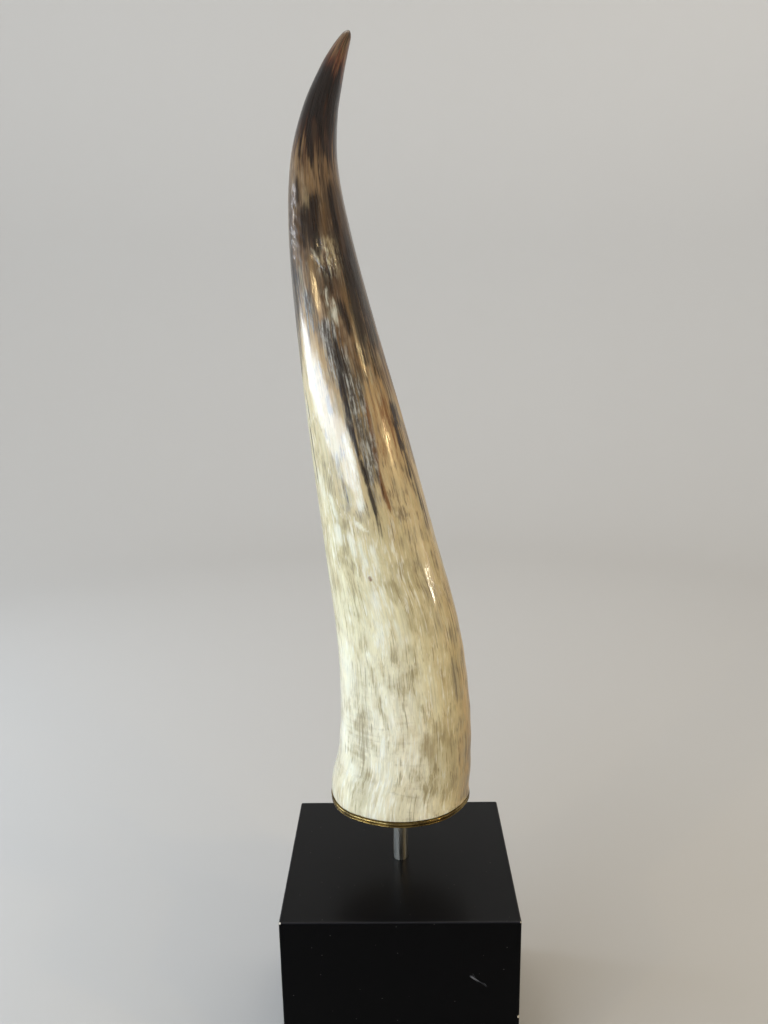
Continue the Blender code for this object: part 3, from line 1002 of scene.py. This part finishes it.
def make_steel():
    """Builds drawn and polished steel: a mirror with faint lines along the bar."""
    material, tree = new_material("drawn and polished steel")
    place = add(tree, "ShaderNodeTexCoord").outputs["Object"]
    drawn = add(tree, "ShaderNodeMapping", {"Vector": place, "Scale": (1, 1, 1 / LINE_STRETCH)}).outputs[0]
    lines, smudge = (
        add(tree, "ShaderNodeTexNoise", {"Vector": vector, "Scale": 1 / size, "Detail": detail}).outputs[0]
        for vector, size, detail in ((drawn, LINE_WIDTH, 2), (place, SMUDGE_SIZE, 3)))
    dull = weigh(tree, 0.26, (smudge, 0.04, 0.5), (lines, 0.03, 0.5))
    scores = add(tree, "ShaderNodeBump", {"Height": lines, "Strength": 0.5, "Distance": 0.001 * MM})
    shader = add(tree, "ShaderNodeBsdfPrincipled", {
        "Base Color": colour("#b6b2a8"), "Metallic": 1.0, "Roughness": dull, "Normal": scores.outputs[0],
        "Anisotropic": 0.9, "Anisotropic Rotation": 0.25})
    round_it = add(tree, "ShaderNodeTangent", direction_type="RADIAL", axis="Z")
    tree.links.new(round_it.outputs[0], shader.inputs["Tangent"])
    close_material(tree, shader)
    return material


rod_mesh = spin_profile(rod_profile(), ROD_SIDES)
bmesh.ops.translate(rod_mesh, vec=(ROD_ASIDE, 0, ROD_LOW[2]), verts=rod_mesh.verts)
rod = add_piece("steel_rod", rod_mesh)
rod.data.materials.append(make_steel())
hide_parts("rod")
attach(rod, "root")
print("rod length in mm:", round((ROD_HIGH[2] - ROD_LOW[2]) / MM, 1))

# %% [markdown]
# ## The block
#
# The block is a solid piece of wood, sprayed black. Its edges are eased by hand, and a few corners are
# chipped through to the pale wood. It starts as a cube with bevelled edges, and one Boolean cut takes
# out the rod's bore and the chips together.

# %% Cut the block
BLOCK_LOW, BLOCK_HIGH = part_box("block")
BLOCK_SIZE = BLOCK_HIGH - BLOCK_LOW
BLOCK_TOP = BLOCK_HIGH[2]
HALF_WIDTH = BLOCK_SIZE[0] / 2
HALF_DEPTH = BLOCK_SIZE[1] / 2
BLOCK_EDGE = 1.2 * MM
BORE_BOTTOM = ROD_LOW[2] - GAP
CHIPS = (
    # place in metres, and size in mm
    ((-HALF_WIDTH + 0.6 * MM, -HALF_DEPTH + 0.2 * MM, BLOCK_TOP - 0.4 * MM), 0.7),
    ((HALF_WIDTH - 0.4 * MM, -HALF_DEPTH + 0.3 * MM, BLOCK_TOP - 0.4 * MM), 0.5),
    ((HALF_WIDTH - 0.2 * MM, -HALF_DEPTH + 0.1 * MM, BLOCK_TOP - 70 * MM), 1.0),
)


def make_cutter():
    """Makes one mesh of the rod's bore and the chips, for a single Boolean cut."""
    reach = BLOCK_TOP + 10 * MM
    bore = [(0, BORE_BOTTOM), (SOCKET_RADIUS, BORE_BOTTOM), (SOCKET_RADIUS, reach), (0, reach)]
    bm = spin_profile(bore, ROD_SIDES)
    bmesh.ops.translate(bm, vec=(ROD_ASIDE, 0, 0), verts=bm.verts)
    for place, size in CHIPS:
        made = bmesh.ops.create_icosphere(bm, subdivisions=1, radius=size * MM)
        bmesh.ops.rotate(bm, cent=(0, 0, 0), matrix=Matrix.Rotation(size, 3, (1, 2, 3)), verts=made["verts"])
        bmesh.ops.translate(bm, vec=place, verts=made["verts"])
    return add_piece("cutter", bm)


def make_block():
    """Makes the block: a bevelled cube with the bore and the chips cut out of it."""
    bm = bmesh.new()
    bmesh.ops.create_cube(bm, size=1)
    bmesh.ops.scale(bm, vec=BLOCK_SIZE, verts=bm.verts)
    bmesh.ops.translate(bm, vec=(BLOCK_LOW + BLOCK_HIGH) / 2, verts=bm.verts)
    bmesh.ops.bevel(bm, geom=bm.edges, offset=BLOCK_EDGE, segments=5, profile=0.5, affect="EDGES",
                    material=-1)
    block = add_piece("lacquered_block", bm)
    cutter = make_cutter()
    cut = block.modifiers.new("bore and chips", "BOOLEAN")
    cut.operation, cut.solver, cut.object = "DIFFERENCE", "EXACT", cutter
    whole = block.evaluated_get(bpy.context.evaluated_depsgraph_get())
    carved = bpy.data.meshes.new_from_object(whole)
    block.modifiers.clear()
    block.data = carved
    bpy.data.objects.remove(cutter, do_unlink=True)
    block.modifiers.new("flat faces stay flat", "WEIGHTED_NORMAL").keep_sharp = True
    return block


block = make_block()
print("block faces:", len(block.data.polygons))

# %% [markdown]
# ## Black satin lacquer
#
# Sprayed lacquer is a clear, slightly soft gloss over black. It reflects like plastic, so the black
# is the colour of the body and the shine comes from the surface. What makes it look real is what has
# happened to it: a fine orange-peel from the spray gun, specks of dust, edges rubbed grey, a pale
# scratch on the front, and pale wood in the chips. The top has been waxed more often than the sides,
# so it has a thin coat of its own, which catches the horn's reflection. Its black is also painted a
# shade lighter than the sides', as painted light from above.

# %% Build the lacquer
SCRATCH_MIDDLE = (49.2 * MM, -HALF_DEPTH, BLOCK_TOP - 43 * MM)
SCRATCH_SLOPE = math.radians(40)
SCRATCH_LENGTH = 15 * MM
SCRATCH_WIDTH = 1.6 * MM
HAIR_LENGTH, HAIR_WIDTH = 14.3 * MM, 0.667 * MM
PEEL_SIZE, SMEAR_SIZE, DUST_SPACING = 2.38 * MM, 45.5 * MM, 6.25 * MM


def chip_share(tree, place):
    """Gives 1 inside every chip, from the distance to each chip's middle."""
    total = 0.0
    for middle, size in CHIPS:
        away = add(tree, "ShaderNodeVectorMath", {0: place, 1: middle}, operation="DISTANCE")
        inside = soft_cut(tree, away.outputs["Value"], size * 1.25 * MM, size * 1.05 * MM)
        total = add(tree, "ShaderNodeMath", {0: inside, 1: total}, operation="MAXIMUM").outputs[0]
    return total


def scratch_share(tree, place):
    """Gives 1 along the scratch on the front, broken up by noise."""
    level = add(tree, "ShaderNodeVectorMath", {0: place, 1: SCRATCH_MIDDLE}, operation="SUBTRACT").outputs[0]
    turned = add(tree, "ShaderNodeVectorRotate", rotation_type="AXIS_ANGLE", inputs={
        "Vector": level, "Axis": (0, 1, 0), "Angle": -SCRATCH_SLOPE}).outputs[0]
    split = add(tree, "ShaderNodeSeparateXYZ", {0: turned}).outputs
    fan = add(tree, "ShaderNodeMapping",
              {"Vector": turned, "Scale": (1 / HAIR_LENGTH, 0, 1 / HAIR_WIDTH)}).outputs[0]
    hairs = add(tree, "ShaderNodeTexNoise", {"Vector": fan, "Scale": 1, "Detail": 3}).outputs[0]
    away, along, depth = (add(tree, "ShaderNodeMath", {0: split[axis]}, operation="ABSOLUTE").outputs[0]
                          for axis in (2, 0, 1))
    spread = add(tree, "ShaderNodeMapRange", {0: split[0], 1: -SCRATCH_LENGTH / 2, 2: SCRATCH_LENGTH / 2,
                                              3: SCRATCH_WIDTH, 4: SCRATCH_WIDTH / 4}).outputs[0]
    inside = add(tree, "ShaderNodeMath", {0: away, 1: spread}, operation="LESS_THAN").outputs[0]
    ends = soft_cut(tree, along, SCRATCH_LENGTH / 2, SCRATCH_LENGTH / 3)
    near = soft_cut(tree, depth, 2 * MM, 1 * MM)
    return times(tree, soft_cut(tree, hairs, 0.50, 0.62), inside, ends, near)


def make_lacquer():
    """Builds black satin lacquer with orange-peel, dust, a scratch and chips."""
    material, tree = new_material("black satin lacquer")
    place = add(tree, "ShaderNodeTexCoord").outputs["Object"]
    peel, smears = (
        add(tree, "ShaderNodeTexNoise", {"Vector": place, "Scale": 1 / size, "Detail": detail}).outputs[0]
        for size, detail in ((PEEL_SIZE, 2), (SMEAR_SIZE, 5)))
    cells = add(tree, "ShaderNodeTexVoronoi", {"Vector": place, "Scale": 1 / DUST_SPACING})
    specks = soft_cut(tree, cells.outputs["Distance"], 0.055, 0.03)
    chips = chip_share(tree, place)
    scratch = scratch_share(tree, place)
    split = add(tree, "ShaderNodeSeparateXYZ", {0: place}).outputs
    on_top = soft_cut(tree, split[2], BLOCK_TOP - 0.5 * MM, BLOCK_TOP)
    reach = [add(tree, "ShaderNodeMath", {0: split[axis]}, operation="ABSOLUTE").outputs[0]
             for axis in (0, 1)]
    sides = [soft_cut(tree, value, half - 1.1 * MM, half - 0.4 * MM)
             for value, half in zip(reach, (HALF_WIDTH, HALF_DEPTH))]
    near_side = add(tree, "ShaderNodeMath", {0: sides[0], 1: sides[1]}, operation="MAXIMUM").outputs[0]
    rubbed = times(tree, near_side, soft_cut(tree, split[2], BLOCK_TOP - 1.1 * MM, BLOCK_TOP - 0.4 * MM))
    # the top's black is painted a shade lighter than the sides', as painted light from above
    tint = blend(tree, on_top, colour("#030304"), colour("#0a0a0c"))
    for share, strength, shade in ((rubbed, 0.5, "#333236"), (specks, 0.35, "#8a8880"),
                                   (scratch, 0.5, "#8f8f92"), (chips, 1, "#cfc8ba")):
        tint = lay_over(tree, tint, shade, strength, share)
    dull = weigh(tree, 0.32, (smears, 0.10, 0.5), (chips, 0.4, 0))
    skin = add(tree, "ShaderNodeBump", {"Height": peel, "Strength": 0.5, "Distance": 0.02 * MM})
    shader = add(tree, "ShaderNodeBsdfPrincipled", {
        "Base Color": tint, "Roughness": dull, "IOR": 1.15, "Normal": skin.outputs[0],
        "Coat Weight": times(tree, on_top, 0.30), "Coat Roughness": 0.28, "Coat Normal": skin.outputs[0]})
    close_material(tree, shader)
    return material


block.data.materials.clear()
block.data.materials.append(make_lacquer())
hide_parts("block")
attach(block, "root")
print("lacquer nodes:", len(block.data.materials[0].node_tree.nodes))
